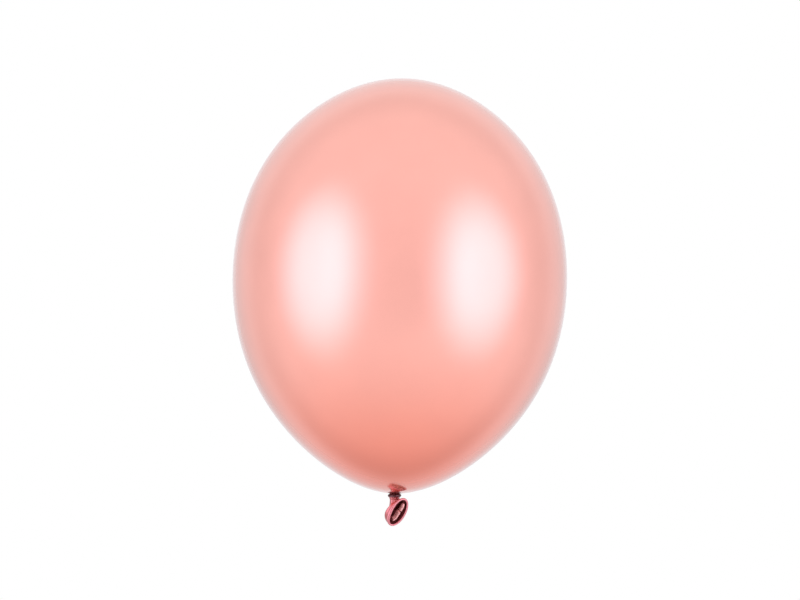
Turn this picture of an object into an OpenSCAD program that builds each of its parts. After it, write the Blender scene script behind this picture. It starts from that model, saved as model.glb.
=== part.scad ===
// Inflated, knotted party balloon. Millimetres, +Z up along the body.
// The origin is the centre of the tied neck, where a ribbon goes round it:
// the body is above it, the knot and the tail below.

/* [Body] */
// Widest diameter of the inflated body
body_w = 300; // [260:5:330]
// Height of the inflated body from pole to pole
body_h = 372; // [330:2:400]
// Wall of the body
body_wall = 0.4; // [0.4:0.1:0.8]
// How much rounder the upper half is than the lower half
upper_fullness = 0.032; // [0:0.004:0.06]
// How much the outline draws in towards the neck
lower_taper = 0.049; // [0:0.007:0.07]
// How slim both ends are, against an ellipse
end_slimness = 0.114; // [0:0.019:0.152]

/* [Neck] */
// Diameter at which the round skin turns into gathered pleats
gather_w = 16; // [14:1:22]
// Diameter of the tied neck
neck_w = 8.8; // [8:0.2:9.6]
// Height of the body's lowest point above the tie
body_lift = 0.4; // [0.4:0.1:1]
// How far the pleats reach below the middle of the tie
neck_foot = 0.1; // [0.1:0.05:0.3]
// Height of the pleats' bunched end above the tie, inside the body
bunch_h = 1.6; // [1.4:0.1:3]

/* [Knot] */
// Outer diameter of the loop round the knot
loop_w = 12.2; // [11.8:0.1:13]
// Thickness of the loop
loop_d = 2.7; // [2.5:0.1:2.9]
// Outer diameter of the strand below the loop
strand_w = 9.8; // [9.6:0.1:10.4]
// Thickness of that strand
strand_d = 2.8; // [2.6:0.1:3]
// How deep the loop is pulled into the core
loop_bite = 0.3; // [0.1:0.1:0.5]

/* [Tail] */
// Long inside-to-outside diameter of the oval mouth, along the middle of its lip
mouth_long = 26; // [20:0.2:27]
// Short diameter of the oval mouth, along the middle of its lip
mouth_short = 14.8; // [12:0.2:18]
// Thickness of the rolled lip
lip_d = 2; // [1.6:0.1:2.4]
// Wall of the skirt between the stem and the lip
skirt_wall = 0.8; // [0.6:0.1:1]
// How far the middle of the mouth hangs below the tie
mouth_drop = 16; // [15:0.5:20]
// How far the middle of the mouth is to the right of the neck
mouth_side = 3.2; // [0:0.2:4]
// How far the middle of the mouth is in front of the neck
mouth_reach = 8; // [7:0.5:10]
// Lean of the mouth's long diameter from upright, towards the right
mouth_lean = 29; // [20:1:40]
// Turn of the mouth about its long diameter, away from straight ahead
mouth_turn = 27; // [15:1:35]
// Diameter of the stem below its knuckle
stem_w = 5.8; // [5:0.2:6]
// Length of the stem from the middle of its knuckle
stem_h = 2.4; // [2.2:0.1:3]
// Lean of the stem from straight down, towards the mouth
stem_lean = 25; // [15:1:30]

/* [Joints] */
// Diameter of the round knuckle on which the tail bends
knuckle_d = 6.6; // [6.2:0.1:6.8]
// Width of the knuckle, from left to right
knuckle_w = 5; // [4:0.2:5.2]
// Height of the knuckle's middle below the strand
knuckle_drop = 1.7; // [1.6:0.1:2]
// Clearance round the moving faces
gap = 0.3; // [0.3:0.05:0.4]

/* [Hidden] */

// Degrees between the points of the body's outline
body_step = 3;
// Degrees between the points of a small fillet
fillet_step = 15;
// Sides of a whole circle in the skirt and round the lip
mouth_sides = 60;
// Rings of the skirt between the stem and the lip
skirt_rings = 16;
// Sides of the lip's own round section
lip_sides = 12;
// Pull of the skirt's two ends on its curve, as a share of their distance
stem_pull = 0.3;
mouth_pull = 0.42;

// Body outline, from the crown (0 degrees) to the neck (180 degrees)
function fullness(a) = 1 + upper_fullness * cos(a) + lower_taper * pow(cos(a), 3)
    - end_slimness * pow(cos(a), 4);
widest = max([for (a = [0 : 1 : 180]) sin(a) * fullness(a)]);
body_r = body_w / 2 / widest;
function outline(a) = [body_r * sin(a) * fullness(a), body_lift + body_h / 2 * (1 + cos(a))];
function outline_normal(a) = let (d = outline(a + 0.5) - outline(a - 0.5)) [-d.y, d.x] / norm(d);
function skin(a, depth) = let (p = outline(a) - depth * outline_normal(a)) [max(p.x, 0), p.y];

// Where the round skin ends and the pleats begin
gather_angle = 180 - asin(gather_w / 2 / (body_r * fullness(180)));
last_step = floor(gather_angle / body_step) * body_step;
body_angles = concat([for (a = [0 : body_step : last_step]) a], [gather_angle]);

// Neck
neck_r = neck_w / 2;
fillet_r = body_lift + neck_foot;

// Knot, from the top down
knot_top = -neck_foot - gap;
loop_r = (loop_w - loop_d) / 2;
loop_z = knot_top - loop_d / 2;
core_r = loop_r - loop_d / 2 + loop_bite;
strand_r = (strand_w - strand_d) / 2;
strand_z = knot_top - loop_d - strand_d / 2;
knot_bottom = strand_z - strand_d / 2;

// Tail bend joint: the middle of the knuckle, which is on the joint's axis
knuckle_r = knuckle_d / 2;
knuckle_z = knot_bottom - knuckle_drop;

// Mouth: its middle, the direction of its long diameter and the way it faces
mouth_middle = [mouth_side, -mouth_reach, -mouth_drop];
mouth_up = [sin(mouth_lean), 0, cos(mouth_lean)];
mouth_slant = [cos(mouth_lean), 0, -sin(mouth_lean)];
mouth_axis = cos(mouth_turn) * [0, -1, 0] + sin(mouth_turn) * mouth_slant;

// Stem: the way it points, and the middle of its end
stem_heading = atan2(mouth_axis.y, mouth_axis.x);
stem_axis = [sin(stem_lean) * cos(stem_heading), sin(stem_lean) * sin(stem_heading), -cos(stem_lean)];
stem_end = [0, 0, knuckle_z] + stem_h * stem_axis;

function unit(v) = v / norm(v);
function across(v, axis) = unit(v - (v * axis) * axis);
// Point of an oval: its middle, its axis, the direction of its long radius, its radii and an angle
function oval(middle, axis, up, long_r, short_r, u) =
    middle + long_r * cos(u) * up + short_r * sin(u) * cross(axis, up);
function stem_rim(u, depth) =
    oval(stem_end, stem_axis, across(mouth_up, stem_axis), stem_w / 2 - depth, stem_w / 2 - depth, u);
function mouth_rim(u, depth) =
    oval(mouth_middle, mouth_axis, mouth_up, mouth_long / 2 - depth, mouth_short / 2 - depth, u);
function bezier(a, b, c, d, s) =
    pow(1 - s, 3) * a + 3 * s * pow(1 - s, 2) * b + 3 * s * s * (1 - s) * c + pow(s, 3) * d;
// Point of the skirt: s runs from the stem (0) to the lip (1), u runs round
function skirt_point(s, u, depth) =
    let (a = stem_rim(u, depth), d = mouth_rim(u, depth), reach = norm(d - a))
    bezier(a, a + stem_pull * reach * stem_axis, d - mouth_pull * reach * mouth_axis, d, s);
// Point of the lip: u runs round the mouth, v round the lip's own section
function lip_point(u, v) =
    let (middle = mouth_rim(u, 0), ahead = unit(mouth_rim(u + 1, 0) - mouth_rim(u - 1, 0)),
         out = cross(ahead, mouth_axis))
    middle + lip_d / 2 * (cos(v) * out + sin(v) * mouth_axis);

// Closed surface through rings of points; the first and last ring are each capped flat,
// or joined to each other when looped is true
module through_rings(rings, looped = false) {
    count = len(rings);
    sides = len(rings[0]);
    last = looped ? count - 1 : count - 2;
    walls = [for (i = [0 : last], k = [0 : sides - 1])
        let (j = (i + 1) % count, m = (k + 1) % sides)
        each [[i * sides + k, j * sides + k, j * sides + m],
              [i * sides + k, j * sides + m, i * sides + m]]];
    caps = looped ? [] : [[for (k = [0 : sides - 1]) k],
                          [for (k = [sides - 1 : -1 : 0]) (count - 1) * sides + k]];
    polyhedron([for (ring = rings) each ring], concat(walls, caps), convexity = 6);
}

// The round, inflated skin
module envelope() {
    color("#fbb3a6")
    rotate_extrude($fn = 120)
    polygon(concat([for (a = body_angles) skin(a, 0)],
                   [for (i = [len(body_angles) - 1 : -1 : 0]) skin(body_angles[i], body_wall)]));
}

// The skin drawn together into pleats, down to the tied neck
module neck_gather() {
    fillet = [for (a = [90 : -fillet_step : 0])
        [neck_r + fillet_r * (1 - sin(a)), fillet_r * cos(a) - neck_foot]];
    color("#d4685f")
    rotate_extrude($fn = 96)
    polygon(concat([[0, -neck_foot]], fillet,
                   [skin(gather_angle, 0), skin(gather_angle, body_wall), [0, bunch_h]]));
}

// The knuckle that the tail bends on, made larger all round by room for its seat
module knuckle(room = 0) {
    translate([0, 0, knuckle_z])
    rotate([0, 90, 0])
    cylinder(r = knuckle_r + room, h = knuckle_w + 2 * room, center = true, $fn = 96);
}

// The loop of neck pulled tight round the knot
module knot_loop() {
    color("#a8484c")
    rotate_extrude($fn = 96)
    translate([loop_r, loop_z])
    circle(d = loop_d, $fn = 48);
}

// The neck inside the loop, and the strand that comes out below it
module knot_core() {
    color("#c25a5a")
    difference() {
        union() {
            translate([0, 0, strand_z])
            cylinder(r = core_r, h = knot_top - strand_z, $fn = 96);
            translate([0, 0, strand_z - strand_d / 2])
            cylinder(r = strand_r, h = strand_d, $fn = 96);
            rotate_extrude($fn = 96)
            translate([strand_r, strand_z])
            circle(d = strand_d, $fn = 48);
        }
        knuckle(gap);
    }
}

// The narrow end of the tail, with the round knuckle that it bends on
module tail_stem() {
    color("#d56a68") {
        knuckle();
        translate([0, 0, knuckle_z])
        rotate([0, 180 - stem_lean, stem_heading])
        cylinder(d = stem_w, h = stem_h, $fn = 64);
    }
}

// The open skirt of thin skin between the stem and the lip
module mouth_skirt() {
    angles = [for (k = [0 : mouth_sides - 1]) k * 360 / mouth_sides];
    outside = [for (i = [0 : skirt_rings])
        [for (u = angles) skirt_point(i / skirt_rings, u, 0)]];
    inside = [for (i = [skirt_rings : -1 : 0])
        [for (u = angles) skirt_point(i / skirt_rings, u, skirt_wall)]];
    color("#e07a78")
    through_rings(concat(outside, inside), looped = true);
}

// The rolled lip round the mouth
module rolled_lip() {
    rings = [for (k = [0 : mouth_sides - 1])
        [for (j = [0 : lip_sides - 1]) lip_point(k * 360 / mouth_sides, j * 360 / lip_sides)]];
    color("#e88a90")
    through_rings(rings, looped = true);
}

envelope();
neck_gather();
knot_loop();
knot_core();
tail_stem();
mouth_skirt();
rolled_lip();
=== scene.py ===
"""Looks of an inflated, knotted party balloon in pearl rose-gold latex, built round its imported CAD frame."""

import logging
import math
from collections.abc import Callable, Iterable
from dataclasses import dataclass, field
from enum import Enum

import bmesh
import bpy
from mathutils import Matrix, Vector


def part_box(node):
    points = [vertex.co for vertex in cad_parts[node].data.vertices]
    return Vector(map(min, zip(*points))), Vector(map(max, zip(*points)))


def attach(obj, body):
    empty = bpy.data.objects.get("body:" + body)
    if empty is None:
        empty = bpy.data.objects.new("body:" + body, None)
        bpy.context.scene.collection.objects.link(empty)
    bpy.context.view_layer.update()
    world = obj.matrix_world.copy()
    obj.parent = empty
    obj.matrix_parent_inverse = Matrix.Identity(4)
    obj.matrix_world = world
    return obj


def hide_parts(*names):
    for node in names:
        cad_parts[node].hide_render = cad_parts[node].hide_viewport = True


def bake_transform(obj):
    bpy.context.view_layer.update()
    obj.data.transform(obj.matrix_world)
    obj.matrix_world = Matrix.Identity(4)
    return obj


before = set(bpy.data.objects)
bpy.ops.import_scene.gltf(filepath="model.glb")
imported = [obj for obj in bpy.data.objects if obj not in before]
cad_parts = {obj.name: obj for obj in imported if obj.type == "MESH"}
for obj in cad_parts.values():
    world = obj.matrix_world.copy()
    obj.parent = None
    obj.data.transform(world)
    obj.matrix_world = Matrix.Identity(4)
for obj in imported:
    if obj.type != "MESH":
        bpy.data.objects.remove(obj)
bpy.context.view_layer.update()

LOG = logging.getLogger("balloon")
MM = 0.001


# ---------------------------------------------------------------- small tools


def linear(hex_colour: str) -> tuple[float, float, float, float]:
    """Turns an sRGB hex colour into linear RGBA.

    Args:
        hex_colour: Six hex digits, with or without a leading #.

    Returns:
        Red, green, blue and an alpha of 1.
    """
    digits = hex_colour.lstrip("#")
    channels = [int(digits[i:i + 2], 16) / 255 for i in (0, 2, 4)]
    red, green, blue = [c / 12.92 if c <= 0.04045 else ((c + 0.055) / 1.055) ** 2.4 for c in channels]
    return red, green, blue, 1.0


def smooth(low: float, high: float, value: float) -> float:
    """Goes smoothly from 0 at low to 1 at high.

    Args:
        low: Value at which the result is 0.
        high: Value at which the result is 1.
        value: The value to place between them.

    Returns:
        A number from 0 to 1.
    """
    t = min(max((value - low) / (high - low), 0.0), 1.0)
    return t * t * (3 - 2 * t)


def bell(value: float, middle: float, width: float) -> float:
    """A rounded bump: 1 at the middle, and about 0 beyond twice the width."""
    return math.exp(-(((value - middle) / width) ** 2))


def turn_between(a: float, b: float) -> float:
    """The signed angle from b to a, from -pi to pi."""
    return math.remainder(a - b, 2 * math.pi)


def add_node(tree: bpy.types.NodeTree, kind: str, inputs: dict | None = None, **settings) -> bpy.types.Node:
    """Adds a node with its settings and links.

    Args:
        tree: The node tree to add to.
        kind: The node's type, such as ShaderNodeMix.
        inputs: Socket name or number to a value, or to the output socket that feeds it.
        settings: The node's own properties.

    Returns:
        The new node.
    """
    node = tree.nodes.new(kind)
    for name, value in settings.items():
        setattr(node, name, value)
    for key, value in (inputs or {}).items():
        if isinstance(value, bpy.types.NodeSocket):
            tree.links.new(value, node.inputs[key])
        else:
            node.inputs[key].default_value = value
    return node


def spun(outline: Iterable[tuple[float, float]], steps: int) -> bmesh.types.BMesh:
    """Spins an outline a full turn about +Z.

    Args:
        outline: Points as (radius, height), in order.
        steps: Sides of the turn.

    Returns:
        The surface, merged at its seam and at any pole.
    """
    bm = bmesh.new()
    verts = [bm.verts.new((r, 0.0, z)) for r, z in outline]
    edges = [bm.edges.new(pair) for pair in zip(verts, verts[1:])]
    bmesh.ops.spin(bm, geom=verts + edges, cent=(0, 0, 0), axis=(0, 0, 1), angle=2 * math.pi,
                   steps=steps, use_merge=True)
    bmesh.ops.remove_doubles(bm, verts=bm.verts, dist=1e-7)
    return bm


def tube(rings: int, sides: int) -> bmesh.types.BMesh:
    """A unit tube about +Z, from z = 0 to z = 1, with open ends, to be moved onto a curved form."""
    return spun([(1.0, i / rings) for i in range(rings + 1)], sides)


def hoop(sides: int, section_sides: int) -> bmesh.types.BMesh:
    """A ring about +Z, of radius 2 with a round section of radius 1, to be moved onto a curved form.

    Args:
        sides: Sides of the ring.
        section_sides: Sides of its section.

    Returns:
        The closed ring.
    """
    bm = bmesh.new()
    circle = bmesh.ops.create_circle(bm, segments=section_sides, radius=1.0)
    bmesh.ops.rotate(bm, verts=circle["verts"], cent=(0, 0, 0), matrix=Matrix.Rotation(math.pi / 2, 3, "X"))
    bmesh.ops.translate(bm, verts=circle["verts"], vec=(2, 0, 0))
    bmesh.ops.spin(bm, geom=bm.verts[:] + bm.edges[:], cent=(0, 0, 0), axis=(0, 0, 1), angle=2 * math.pi,
                   steps=sides, use_merge=True)
    bmesh.ops.remove_doubles(bm, verts=bm.verts, dist=1e-6)
    return bm


def place(bm: bmesh.types.BMesh, where: Callable[[Vector], Vector]) -> bmesh.types.BMesh:
    """Moves every vertex to where the given rule puts it.

    Args:
        bm: The shape to move.
        where: The rule, from a vertex's place to its new one.

    Returns:
        The same shape.
    """
    for vert in bm.verts:
        vert.co = where(vert.co.copy())
    return bm


def make_piece(name: str, bm: bmesh.types.BMesh, material: bpy.types.Material) -> bpy.types.Object:
    """Turns a finished bmesh into a smooth piece whose object sits at the origin.

    Args:
        name: The piece's name.
        bm: Its shape, which is freed.
        material: Its finish.

    Returns:
        The new object, linked to the scene.
    """
    bmesh.ops.recalc_face_normals(bm, faces=bm.faces)
    mesh = bpy.data.meshes.new(name)
    bm.to_mesh(mesh)
    bm.free()
    mesh.materials.append(material)
    mesh.shade_smooth()
    piece = bpy.data.objects.new(name, mesh)
    bpy.context.scene.collection.objects.link(piece)
    LOG.info("%s: %d faces", name, len(mesh.polygons))
    return piece


# ---------------------------------------------------------------- finishes


@dataclass(frozen=True)
class PearlLatex:
    """Natural rubber latex with mica pearl in it, dip-moulded.

    Mica flakes lie flat in the skin, so it shines like a soft, tinted metal under the rubber's own
    clear gloss. Stretching spreads the flakes and the dye: the taut skin is pale, slack skin is deep.
    In the neck, the knot and the inside of the tail the same two colours also stand for painted
    shade, and on the fold inside the tail for painted light.

    The skin is taut at slack_from and slack at slack_to. Both are heights, or values of the mesh
    attribute painted_shading_mask where one is named.
    """

    name: str
    taut: str
    slack: str
    slack_from: float = 0.0
    slack_to: float = 1.0
    painted_shading_mask: str = ""
    taut_metallic: float = 0.2
    slack_metallic: float = 0.62
    roughness: float = 0.22
    roughness_spread: float = 0.03
    pearl_ior: float = 2.0
    coat: float = 1.0
    coat_roughness: float = 0.10
    coat_ior: float = 1.4
    cloud_mm: float = 45.0
    cloud_share: float = 0.10
    flake_mm: float = 0.9
    flake_share: float = 0.05
    peel_mm: float = 2.5
    peel_height_mm: float = 0.004

    def material(self) -> bpy.types.Material:
        """Builds the finish.

        Returns:
            The material.
        """
        made = bpy.data.materials.new(self.name)
        made.use_nodes = True
        tree = made.node_tree
        tree.nodes.clear()
        place_on = add_node(tree, "ShaderNodeTexCoord").outputs["Object"]
        height = add_node(tree, "ShaderNodeSeparateXYZ", {0: place_on}).outputs["Z"]
        drawn = add_node(tree, "ShaderNodeAttribute", attribute_name=self.painted_shading_mask).outputs["Fac"]
        slack_and_shading = add_node(tree, "ShaderNodeMapRange", {
            "Value": drawn if self.painted_shading_mask else height, "From Min": self.slack_from,
            "From Max": self.slack_to}, interpolation_type="SMOOTHERSTEP").outputs["Result"]
        # the blend is partly dye and partly painted shade: darker down into the neck, the knot and the tail's
        # throat, and paler as painted light on the fold inside the tail
        dye_and_painted_shading = add_node(tree, "ShaderNodeMix", {
            "Factor": slack_and_shading, "A": linear(self.taut), "B": linear(self.slack)},
            data_type="RGBA")
        # broad clouds where the dip ran a little thicker
        clouds = add_node(tree, "ShaderNodeTexNoise", {
            "Vector": place_on, "Scale": 1 / (self.cloud_mm * MM), "Detail": 2.0}).outputs["Fac"]
        # mica flakes: real ones are 0.05 mm, and these are drawn coarser so that they show
        flakes = add_node(tree, "ShaderNodeTexNoise", {
            "Vector": place_on, "Scale": 1 / (self.flake_mm * MM), "Detail": 1.0}).outputs["Fac"]
        shade = add_node(tree, "ShaderNodeMath", {
            0: clouds, 1: self.cloud_share, 2: 1 - self.cloud_share / 2}, operation="MULTIPLY_ADD")
        glint = add_node(tree, "ShaderNodeMath", {
            0: flakes, 1: self.flake_share, 2: 1 - self.flake_share / 2}, operation="MULTIPLY_ADD")
        tone = add_node(tree, "ShaderNodeMath", {
            0: shade.outputs[0], 1: glint.outputs[0]}, operation="MULTIPLY")
        colour = add_node(tree, "ShaderNodeVectorMath", {
            0: dye_and_painted_shading.outputs[2], 1: tone.outputs[0]}, operation="MULTIPLY")
        gloss = add_node(tree, "ShaderNodeMapRange", {
            "Value": clouds, "To Min": self.roughness - self.roughness_spread,
            "To Max": self.roughness + self.roughness_spread})
        # slack skin packs its flakes closer and shines more like metal
        metal = add_node(tree, "ShaderNodeMapRange", {
            "Value": slack_and_shading, "To Min": self.taut_metallic, "To Max": self.slack_metallic})
        # the faint orange peel of dipped rubber
        peel = add_node(tree, "ShaderNodeTexNoise", {
            "Vector": place_on, "Scale": 1 / (self.peel_mm * MM), "Detail": 2.0}).outputs["Fac"]
        bump = add_node(tree, "ShaderNodeBump", {
            "Height": peel, "Distance": self.peel_height_mm * MM, "Strength": 1.0})
        shader = add_node(tree, "ShaderNodeBsdfPrincipled", {
            "Base Color": colour.outputs[0], "Roughness": gloss.outputs[0], "Normal": bump.outputs[0],
            "Metallic": metal.outputs[0], "IOR": self.pearl_ior, "Coat Weight": self.coat,
            "Coat Roughness": self.coat_roughness, "Coat IOR": self.coat_ior})
        add_node(tree, "ShaderNodeOutputMaterial", {"Surface": shader.outputs[0]})
        return made


@dataclass(frozen=True)
class PaleFloor:
    """Matt white studio vinyl, which only has to be plain."""

    colour: str = "#fffdf8"
    roughness: float = 0.8

    def material(self) -> bpy.types.Material:
        """Builds the finish.

        Returns:
            The material.
        """
        made = bpy.data.materials.new("matt_white_studio_vinyl")
        made.use_nodes = True
        shader = made.node_tree.nodes["Principled BSDF"]
        shader.inputs["Base Color"].default_value = linear(self.colour)
        shader.inputs["Roughness"].default_value = self.roughness
        return made


# ---------------------------------------------------------------- the balloon


@dataclass
class InflatedBody:
    """The round skin, from the crown to where it turns into pleats."""

    lift: float = 0.4 * MM
    upper_fullness: float = 0.032
    lower_taper: float = 0.049
    end_slimness: float = 0.114
    gather_radius: float = 8 * MM
    pleats: int = 19
    pleat_depth: float = 0.22 * MM
    pleat_reach: float = 34 * MM
    sides: int = 190
    # deeper towards the neck: partly the deeper dye of less-stretched skin, partly painted shade on the
    # underside
    finish: PearlLatex = field(default_factory=lambda: PearlLatex(
        "taut_pearl_latex", taut="#feaf99", slack="#fd6b40", slack_from=185 * MM, slack_to=-60 * MM))

    def __post_init__(self) -> None:
        """Takes the width and the crown from the frame."""
        low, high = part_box("envelope")
        self.crown = high.z
        self.half_height = (self.crown - self.lift) / 2
        widest = max(math.sin(a) * self.fullness(a) for a in (math.radians(d) for d in range(180)))
        self.radius = (high.x - low.x) / 2 / widest

    def fullness(self, angle: float) -> float:
        """How full the outline is at an angle from the crown, against an ellipse."""
        c = math.cos(angle)
        return 1 + self.upper_fullness * c + self.lower_taper * c ** 3 - self.end_slimness * c ** 4

    def outline(self, angle: float) -> tuple[float, float]:
        """Radius and height of the outline at an angle from the crown."""
        radius = self.radius * math.sin(angle) * self.fullness(angle)
        return radius, self.lift + self.half_height * (1 + math.cos(angle))

    def pleat_wave(self, around: float) -> float:
        """The uneven rise and fall of the pleats round the neck, from about -1 to 1."""
        return 0.6 * math.cos(self.pleats * around) + 0.4 * math.cos(11 * around + 1.7)

    def pleat(self, around: float, radius: float) -> float:
        """Depth of the pleats at an angle round the neck and a distance from it."""
        fade = 1 - smooth(self.gather_radius * 0.8, self.pleat_reach, radius)
        return self.pleat_depth * self.pleat_wave(around) * fade

    def gather_angle(self) -> float:
        """Angle from the crown at which the outline meets the gathered neck."""
        return math.pi - math.asin(self.gather_radius / (self.radius * self.fullness(math.pi)))

    def build(self) -> bpy.types.Object:
        """Spins the outline and presses the ends of the pleats into it.

        Returns:
            The envelope's skin.
        """
        last = self.gather_angle()
        coarse = [math.radians(d) for d in range(0, 150, 2)]
        fine = [coarse[-1] + (last - coarse[-1]) * (i + 1) / 48 for i in range(48)]
        bm = spun([self.outline(a) for a in coarse + fine], self.sides)

        def pressed(point: Vector) -> Vector:
            """Moves a point of the underside in or out of a pleat.

            Args:
                point: A point of the spun outline.

            Returns:
                Its new place.
            """
            radius = math.hypot(point.x, point.y)
            if point.z > self.half_height or radius > self.pleat_reach:
                return point
            return point - Vector((0, 0, self.pleat(math.atan2(point.y, point.x), radius)))

        piece = make_piece("envelope_skin", place(bm, pressed), self.finish.material())
        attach(piece, "balloon")
        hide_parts("envelope")
        return piece


@dataclass
class TiedNeck:
    """The skin drawn together in pleats, from the round body into the knot."""

    body: InflatedBody
    neck_radius: float = 4.4 * MM
    inner_radius: float = 3.6 * MM
    pleat_depth: float = 0.35 * MM
    sides: int = 190
    # the neck's own deep colour at the top, darkened towards the knot as painted shade in the recess
    finish: PearlLatex = field(default_factory=lambda: PearlLatex(
        "gathered_pearl_latex_painted_shade", taut="#c75348", slack="#7e3436", slack_from=1 * MM, slack_to=-1 * MM,
        taut_metallic=0.6, slack_metallic=0.65, roughness=0.36, coat_roughness=0.2))

    def build(self) -> bpy.types.Object:
        """Spins the funnel of the neck and folds it into pleats.

        Returns:
            The pleated neck.
        """
        body = self.body
        outer, top = body.gather_radius, body.outline(body.gather_angle())[1]
        floor_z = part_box("knot_loop")[0].z
        outline = [(outer, top), (outer - 0.9 * MM, top - 0.08 * MM), (outer - 1.8 * MM, top - 0.16 * MM),
                   (outer - 2.6 * MM, top - 0.26 * MM), (self.neck_radius + 0.4 * MM, top - 0.42 * MM),
                   (self.neck_radius, top - 0.75 * MM), (self.neck_radius - 0.1 * MM, top - 1.2 * MM),
                   (self.inner_radius, top - 1.8 * MM), (self.inner_radius, floor_z)]
        bm = spun(outline, self.sides)

        def folded(point: Vector) -> Vector:
            """Moves a point in or out of its pleat, deepest at the neck.

            Args:
                point: A point of the spun funnel.

            Returns:
                Its new place.
            """
            radius, around = math.hypot(point.x, point.y), math.atan2(point.y, point.x)
            deep = 1 - smooth(self.neck_radius, outer, radius)
            drop = body.pleat(around, radius) * (1 - deep)
            inward = self.pleat_depth * body.pleat_wave(around) * deep
            scale = (radius - inward) / radius
            return Vector((point.x * scale, point.y * scale, point.z - drop))

        piece = make_piece("neck_pleats", place(bm, folded), self.finish.material())
        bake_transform(piece)
        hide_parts("neck_gather")
        return piece


@dataclass
class Knot:
    """The neck wound round itself and pulled tight."""

    loop_rise: float = 0.35 * MM
    crease_depth: float = 0.16 * MM
    creases: int = 9
    core_radius: float = 4.7 * MM
    lobe_depth: float = 0.14
    # the loop at the top is painted near-black red as shade under the body; lower down the core turns to the
    # latex's own deep pink
    finish: PearlLatex = field(default_factory=lambda: PearlLatex(
        "slack_pearl_latex_knot_painted_shade", taut="#58282c", slack="#bc5a58", slack_from=-2.2 * MM,
        slack_to=-3.8 * MM, taut_metallic=0.65, slack_metallic=0.65, roughness=0.4, coat=0.5,
        coat_roughness=0.25))

    def build(self) -> list[bpy.types.Object]:
        """Makes the loop and the core.

        Returns:
            Both pieces.
        """
        material = self.finish.material()
        return [self.loop(material), self.core(material)]

    def loop(self, material: bpy.types.Material) -> bpy.types.Object:
        """Moves a hoop onto the loop: tilted, creased along its length, thicker where it crosses itself.

        Args:
            material: The knot's finish.

        Returns:
            The loop.
        """
        low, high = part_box("knot_loop")
        middle_z, thick = (low.z + high.z) / 2, (high.z - low.z) / 2
        radius = (high.x - low.x) / 2 - thick

        def wound(point: Vector) -> Vector:
            """Places a point of the hoop.

            Args:
                point: A point of the plain hoop.

            Returns:
                Its new place.
            """
            around = math.atan2(point.y, point.x)
            out = math.hypot(point.x, point.y) - 2
            section = math.atan2(point.z, out)
            ripple = 0.5 + 0.5 * math.cos(self.creases * section + 2 * around)
            crease = 1 - self.crease_depth / thick * ripple ** 2
            swell = 1 + 0.10 * bell(turn_between(around, math.radians(-60)), 0, 0.5)
            size = thick * crease * swell
            reach = radius + size * math.cos(section)
            rise = self.loop_rise * math.sin(around + 0.6)
            return Vector((reach * math.cos(around), reach * math.sin(around),
                           middle_z + rise + size * math.sin(section)))

        piece = make_piece("knot_loop_strand", place(hoop(120, 48), wound), material)
        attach(piece, "knot")
        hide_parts("knot_loop")
        return piece

    def core(self, material: bpy.types.Material) -> bpy.types.Object:
        """Spins the strand below the loop and creases it into lobes.

        Args:
            material: The knot's finish.

        Returns:
            The core.
        """
        low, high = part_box("knot_core")
        tall = high.z - low.z
        rings = 28
        outline = []
        for i in range(rings + 1):
            a = math.pi * i / rings
            outline.append((self.core_radius * math.sin(a) ** 0.45,
                            low.z + tall / 2 + tall / 2 * math.cos(a) - 0.3 * MM))
        bm = spun(outline, 120)

        def lobed(point: Vector) -> Vector:
            """Draws a point in between two lobes of the folded strand.

            Args:
                point: A point of the spun strand.

            Returns:
                Its new place.
            """
            around = math.atan2(point.y, point.x) + 0.5 * (point.z - low.z) / tall
            crease = abs(math.cos(1.5 * around + 0.5)) ** 0.6
            fine = 0.02 * math.cos(17 * around)
            scale = 1 - self.lobe_depth * (1 - crease) + fine
            return Vector((point.x * scale, point.y * scale, point.z))

        piece = make_piece("knot_core_strand", place(bm, lobed), material)
        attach(piece, "knot")
        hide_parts("knot_core")
        return piece


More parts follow.
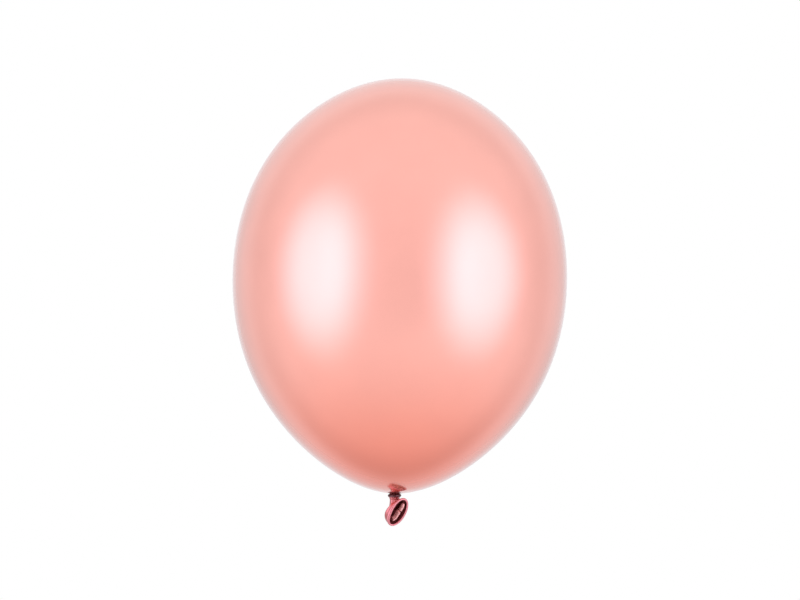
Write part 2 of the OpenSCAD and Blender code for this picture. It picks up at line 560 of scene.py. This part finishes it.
@dataclass
class Tail:
    """The short tail below the knot: a soft skirt that opens into an oval mouth with a rolled lip."""

    mouth_long: float = 26 * MM
    mouth_short: float = 14.8 * MM
    mouth_middle: Vector = field(default_factory=lambda: Vector((3.2, -8.0, -16.0)) * MM)
    mouth_lean: float = math.radians(29)
    mouth_turn: float = math.radians(27)
    stem_radius: float = 4.3 * MM
    stem_top: float = -5.2 * MM
    stem_pull: float = 0.38
    mouth_pull: float = 0.45
    wall: float = 0.5 * MM
    fold_depth: float = 0.55 * MM
    belly: float = 3.2 * MM
    belly_at: float = math.radians(118)
    belly_along: float = 0.62
    belly_length: float = 0.27
    belly_spread: float = 1.15
    ruck_height: float = 4.9 * MM
    ruck_at: float = 0.62
    lip_radius: float = 0.85 * MM
    lip_fuller: float = 0.9
    lip_fuller_at: float = math.radians(118) - 0.25
    skin: PearlLatex = field(default_factory=lambda: PearlLatex(
        "slack_pearl_latex_tail", taut="#d5706e", slack="#c96664", slack_from=0.0, slack_to=-20 * MM,
        taut_metallic=0.65, slack_metallic=0.65, roughness=0.36, coat_roughness=0.2, cloud_mm=12.0))
    # the inner wall: painted shade deep in the throat, and painted light, a pale pink, on the crest of the
    # ruck
    inside: PearlLatex = field(default_factory=lambda: PearlLatex(
        "slack_pearl_latex_inside_painted_shading", taut="#ffb4aa", slack="#8a4240", painted_shading_mask="throat",
        taut_metallic=0.1, slack_metallic=0.75, roughness=0.36, coat_roughness=0.2, cloud_mm=12.0))
    bead: PearlLatex = field(default_factory=lambda: PearlLatex(
        "rolled_pearl_latex", taut="#dd8084", slack="#d5787c", slack_from=0.0, slack_to=-20 * MM,
        taut_metallic=0.65, slack_metallic=0.65, roughness=0.4, coat_roughness=0.25, cloud_mm=12.0))

    def __post_init__(self) -> None:
        """Works out the mouth's directions."""
        lean, turn = self.mouth_lean, self.mouth_turn
        self.up = Vector((math.sin(lean), 0, math.cos(lean)))
        slant = Vector((math.cos(lean), 0, -math.sin(lean)))
        self.axis = Vector((0, -1, 0)) * math.cos(turn) + slant * math.sin(turn)
        self.side = self.axis.cross(self.up)

    def mouth_rim(self, around: float, inset: float = 0.0) -> Vector:
        """Point of the mouth's oval."""
        return (self.mouth_middle + self.up * (self.mouth_long / 2 - inset) * math.cos(around)
                + self.side * (self.mouth_short / 2 - inset) * math.sin(around))

    def stem_rim(self, around: float) -> Vector:
        """Point of the round top of the tail, matched to the mouth's angle.

        Args:
            around: Angle round the tail, from the mouth's high end.

        Returns:
            The point.
        """
        down = Vector((0, 0, -1))
        up = (self.up - self.up.dot(down) * down).normalized()
        side = down.cross(up)
        top = Vector((0, 0, self.stem_top))
        return top + self.stem_radius * (math.cos(around) * up + math.sin(around) * side)

    def skirt_point(self, along: float, around: float) -> Vector:
        """Point of the skirt before it is folded.

        Args:
            along: Share of the way from the knot (0) to the lip (1).
            around: Angle round the tail, from the mouth's high end.

        Returns:
            The point.
        """
        a, d = self.stem_rim(around), self.mouth_rim(around)
        reach = (d - a).length
        b = a + Vector((0, 0, -1)) * self.stem_pull * reach
        c = d - self.axis * self.mouth_pull * reach
        s = along
        return (1 - s) ** 3 * a + 3 * s * (1 - s) ** 2 * b + 3 * s * s * (1 - s) * c + s ** 3 * d

    def ruck(self, along: float, around: float) -> float:
        """Height of the fold inside the far wall, which slopes up from the throat and ends steeply.

        Args:
            along: Share of the way from the knot (0) to the lip (1).
            around: Angle round the tail, from the mouth's high end.

        Returns:
            The height, in metres.
        """
        lower = smooth(math.radians(-85), math.radians(-150), around)
        crest = self.ruck_at + 0.08 * lower
        rise = smooth(crest - 0.26, crest - 0.06, along) * (1 - smooth(crest + 0.04, crest + 0.15, along))
        ends = smooth(math.radians(-4), math.radians(-30), around) * (
            1 - smooth(math.radians(-150), math.radians(-176), around))
        notch = 1 - 0.5 * bell(turn_between(around, math.radians(-86)), 0, 0.10)
        return self.ruck_height * (1 - 0.25 * lower) * rise * ends * notch

    def drape(self, along: float, around: float) -> Vector:
        """Point of the skirt with its folds, its belly behind the lip and the ruck inside it.

        Args:
            along: Share of the way from the knot (0) to the lip (1).
            around: Angle round the tail, from the mouth's high end.

        Returns:
            The point.
        """
        here = self.skirt_point(along, around)
        middle = sum((self.skirt_point(along, k * math.pi / 4) for k in range(8)), Vector()) / 8
        inward = (middle - here).normalized()
        wave = 0.6 * math.cos(7 * around + 2 * along) + 0.4 * math.cos(4 * around + 1.1)
        folds = self.fold_depth * (0.5 + 0.5 * wave) * (1 - smooth(0.35, 0.97, along))
        belly = self.belly * bell(along, self.belly_along, self.belly_length) * bell(
            turn_between(around, self.belly_at), 0, self.belly_spread)
        ruck = self.ruck(along, around)
        return here + inward * (folds - belly + 0.5 * ruck) + self.axis * 0.85 * ruck

    def skirt(self) -> bpy.types.Object:
        """Moves a tube onto the skirt, and gives it its wall and the finish of its inside.

        Returns:
            The skirt.
        """
        bm = tube(72, 128)
        throat = bm.verts.layers.float.new(self.inside.painted_shading_mask)
        for vert in bm.verts:
            along, around = vert.co.z, math.atan2(vert.co.y, vert.co.x)
            # the mask is 1 where the inner wall is painted dark as shade, and falls to 0 on the ruck's crest,
            # which is painted light
            vert[throat] = 1 - smooth(0.5, 0.85, self.ruck(along, around) / self.ruck_height)
            vert.co = self.drape(along, around)
        piece = make_piece("tail_skirt", bm, self.skin.material())
        wall = piece.modifiers.new("wall", "SOLIDIFY")
        wall.thickness = self.wall
        wall.offset = -1.0
        # the inner wall takes the darker inside finish, painted shade in the hollow
        piece.data.materials.append(self.inside.material())
        wall.material_offset = 1
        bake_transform(piece)
        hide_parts("mouth_skirt", "tail_stem")
        return piece

    def lip(self) -> bpy.types.Object:
        """Moves a hoop onto the rolled lip, fuller on the side of the belly.

        Returns:
            The lip.
        """

        def rolled(point: Vector) -> Vector:
            """Places a point of the hoop.

            Args:
                point: A point of the plain hoop.

            Returns:
                Its new place.
            """
            around = math.atan2(point.y, point.x)
            out = math.hypot(point.x, point.y) - 2
            step = 0.01
            ahead = (self.mouth_rim(around + step) - self.mouth_rim(around - step)).normalized()
            outward = ahead.cross(self.axis)
            uneven = 0.05 * math.cos(3 * around) + 0.03 * math.cos(7 * around + 1)
            fuller = self.lip_fuller * bell(turn_between(around, self.lip_fuller_at), 0, 1.0)
            size = self.lip_radius * (1 + uneven + fuller)
            middle = self.mouth_rim(around, 0.8 * self.lip_radius * fuller)
            return middle + size * (out * outward + point.z * self.axis)

        piece = make_piece("rolled_lip_bead", place(hoop(160, 20), rolled), self.bead.material())
        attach(piece, "tail")
        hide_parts("rolled_lip")
        return piece

    def build(self) -> list[bpy.types.Object]:
        """Makes the skirt and the lip."""
        return [self.skirt(), self.lip()]


# ---------------------------------------------------------------- studio


class Side(Enum):
    """Which side of the balloon a light stands on."""

    LEFT = -1
    RIGHT = 1


@dataclass(frozen=True)
class SoftBox:
    """A large soft box, as the balloon sees it: where it stands and how wide, tall and bright it looks."""

    turn: float
    rise: float
    half_width: float
    half_height: float
    softness: float
    brightness: float

    def glow(self, tree: bpy.types.NodeTree, azimuth: bpy.types.NodeSocket,
             elevation: bpy.types.NodeSocket) -> bpy.types.NodeSocket:
        """Adds the nodes for its light.

        Args:
            tree: The world's node tree.
            azimuth: Angle from the front, towards the box's own side.
            elevation: Angle above the horizon.

        Returns:
            The socket with its brightness in any direction.
        """
        across = add_node(tree, "ShaderNodeMapRange", {
            "Value": azimuth, "From Min": self.turn, "From Max": self.turn + self.half_width},
            clamp=False)
        along = add_node(tree, "ShaderNodeMapRange", {
            "Value": elevation, "From Min": self.rise, "From Max": self.rise + self.half_height},
            clamp=False)
        spot = add_node(tree, "ShaderNodeCombineXYZ", {0: across.outputs[0], 1: along.outputs[0]})
        off_centre = add_node(tree, "ShaderNodeVectorMath", {0: spot.outputs[0]}, operation="LENGTH")
        return add_node(tree, "ShaderNodeMapRange", {
            "Value": off_centre.outputs["Value"], "From Min": 1 - self.softness,
            "From Max": 1 + self.softness, "To Min": self.brightness, "To Max": 0.0},
            interpolation_type="SMOOTHSTEP").outputs[0]


@dataclass
class Studio:
    """A white room, two tall soft boxes at the front and a level camera with a long lens."""

    distance: float = 3.0
    lens: float = 150.0
    view_width: float = 0.7176
    aim: Vector = field(default_factory=lambda: Vector((0.0006, 0, 0.1737)))
    roll: float = math.radians(1.4)
    floor_drop: float = 0.45
    floor_radius: float = 3.5
    room_tint: str = "#fdfcff"
    box_tint: str = "#e6e3ff"
    behind_camera: float = 0.68
    front_corners: float = 0.77
    sides: float = 0.60
    behind_balloon: float = 0.76
    backdrop: float = 1.0
    below_share: float = 1.30
    level_share: float = 0.92
    overhead_share: float = 1.08
    boxes: tuple[SoftBox, ...] = (
        SoftBox(math.radians(55.5), math.radians(3.6), math.radians(27.5), math.radians(28), 0.6, 2.5),
        SoftBox(math.radians(46), math.radians(3.6), math.radians(10), math.radians(17), 0.95, 0.54))

    def camera(self) -> None:
        """Sets up the level camera."""
        data = bpy.data.cameras.new("camera")
        data.lens = self.lens
        data.sensor_width = self.view_width * self.lens / self.distance
        made = bpy.data.objects.new("camera", data)
        made.location = self.aim + Vector((0, -self.distance, 0))
        made.rotation_mode = "QUATERNION"
        upright = Matrix.Rotation(math.pi / 2, 3, "X")
        made.rotation_quaternion = (Matrix.Rotation(-self.roll, 3, "Y") @ upright).to_quaternion()
        bpy.context.scene.collection.objects.link(made)
        bpy.context.scene.camera = made

    def room(self, tree: bpy.types.NodeTree, parts: bpy.types.Node) -> bpy.types.Node:
        """Adds the nodes for the room's own light: bright at the front corners and behind the balloon.

        Args:
            tree: The world's node tree.
            parts: The node that splits a direction into X, Y and Z.

        Returns:
            The node with the room's brightness in any direction.
        """
        depth = add_node(tree, "ShaderNodeValToRGB", {"Fac": add_node(tree, "ShaderNodeMapRange", {
            "Value": parts.outputs["Y"], "From Min": -1.0, "From Max": 1.0}).outputs[0]})
        tones = ((0.0, self.behind_camera), (0.25, self.front_corners), (0.55, self.front_corners),
                 (0.68, self.sides), (0.73, self.sides), (0.81, self.behind_balloon),
                 (0.93, self.behind_balloon), (1.0, self.backdrop))
        ramp = depth.color_ramp
        for index, (position, grey) in enumerate(tones):
            stop = ramp.elements[index] if index < 2 else ramp.elements.new(position)
            stop.position, stop.color = position, (grey, grey, grey, 1)
        upper = add_node(tree, "ShaderNodeMapRange", {
            "Value": parts.outputs["Z"], "From Min": 0.1, "From Max": 0.6, "To Min": self.level_share,
            "To Max": self.overhead_share}, interpolation_type="SMOOTHSTEP")
        lower = add_node(tree, "ShaderNodeMapRange", {
            "Value": parts.outputs["Z"], "From Min": -0.1, "From Max": -0.6, "To Min": 1.0,
            "To Max": self.below_share / self.level_share}, interpolation_type="SMOOTHSTEP")
        share = add_node(tree, "ShaderNodeMath", {
            0: upper.outputs[0], 1: lower.outputs[0]}, operation="MULTIPLY")
        return add_node(tree, "ShaderNodeMath", {0: depth.outputs["Color"], 1: share.outputs[0]},
                        operation="MULTIPLY")

    def surroundings(self) -> None:
        """Lights the room and its soft boxes; the eye sees plain white."""
        world = bpy.data.worlds.new("white_studio")
        bpy.context.scene.world = world
        world.use_nodes = True
        tree = world.node_tree
        tree.nodes.clear()
        toward = add_node(tree, "ShaderNodeTexCoord").outputs["Generated"]
        parts = add_node(tree, "ShaderNodeSeparateXYZ", {0: toward})
        forward = add_node(tree, "ShaderNodeMath", {0: parts.outputs["Y"], 1: -1.0}, operation="MULTIPLY")
        elevation = add_node(tree, "ShaderNodeMath", {0: parts.outputs["Z"]}, operation="ARCSINE").outputs[0]
        level = self.room(tree, parts)
        glow: bpy.types.NodeSocket | float = 0.0
        for side in Side:
            across = add_node(tree, "ShaderNodeMath", {0: parts.outputs["X"], 1: float(side.value)},
                              operation="MULTIPLY")
            azimuth = add_node(tree, "ShaderNodeMath", {0: across.outputs[0], 1: forward.outputs[0]},
                               operation="ARCTAN2").outputs[0]
            for box in self.boxes:
                glow = add_node(tree, "ShaderNodeMath", {0: glow, 1: box.glow(tree, azimuth, elevation)},
                                operation="ADD").outputs[0]
        room = add_node(tree, "ShaderNodeBackground", {
            "Color": linear(self.room_tint), "Strength": level.outputs[0]})
        front = add_node(tree, "ShaderNodeBackground", {"Color": linear(self.box_tint), "Strength": glow})
        light = add_node(tree, "ShaderNodeAddShader", {0: room.outputs[0], 1: front.outputs[0]})
        plain = add_node(tree, "ShaderNodeBackground", {"Color": (1, 1, 1, 1), "Strength": 1.0})
        seen = add_node(tree, "ShaderNodeLightPath").outputs["Is Camera Ray"]
        shown = add_node(tree, "ShaderNodeMixShader", {0: seen, 1: light.outputs[0], 2: plain.outputs[0]})
        add_node(tree, "ShaderNodeOutputWorld", {"Surface": shown.outputs[0]})

    def floor(self) -> None:
        """Lays the plain pale floor well below the balloon."""
        bm = bmesh.new()
        bmesh.ops.create_circle(bm, cap_ends=True, segments=96, radius=self.floor_radius)
        bmesh.ops.translate(bm, verts=bm.verts, vec=(0, 0, -self.floor_drop))
        laid = make_piece("studio_floor", bm, PaleFloor().material())
        # the balloon hangs too high for the floor to show in its skin
        laid.visible_glossy = False
        laid.visible_diffuse = False

    def build(self) -> None:
        """Sets up the camera, the light and the floor."""
        scene = bpy.context.scene
        scene.view_settings.view_transform = "Standard"
        scene.view_settings.look = "None"
        self.camera()
        self.surroundings()
        self.floor()


def main() -> None:
    """Builds the balloon and its studio in order."""
    logging.basicConfig(level=logging.INFO, format="%(name)s: %(message)s")
    Studio().build()
    body = InflatedBody()
    body.build()
    TiedNeck(body).build()
    Knot().build()
    Tail().build()


if __name__ == "__main__":
    main()
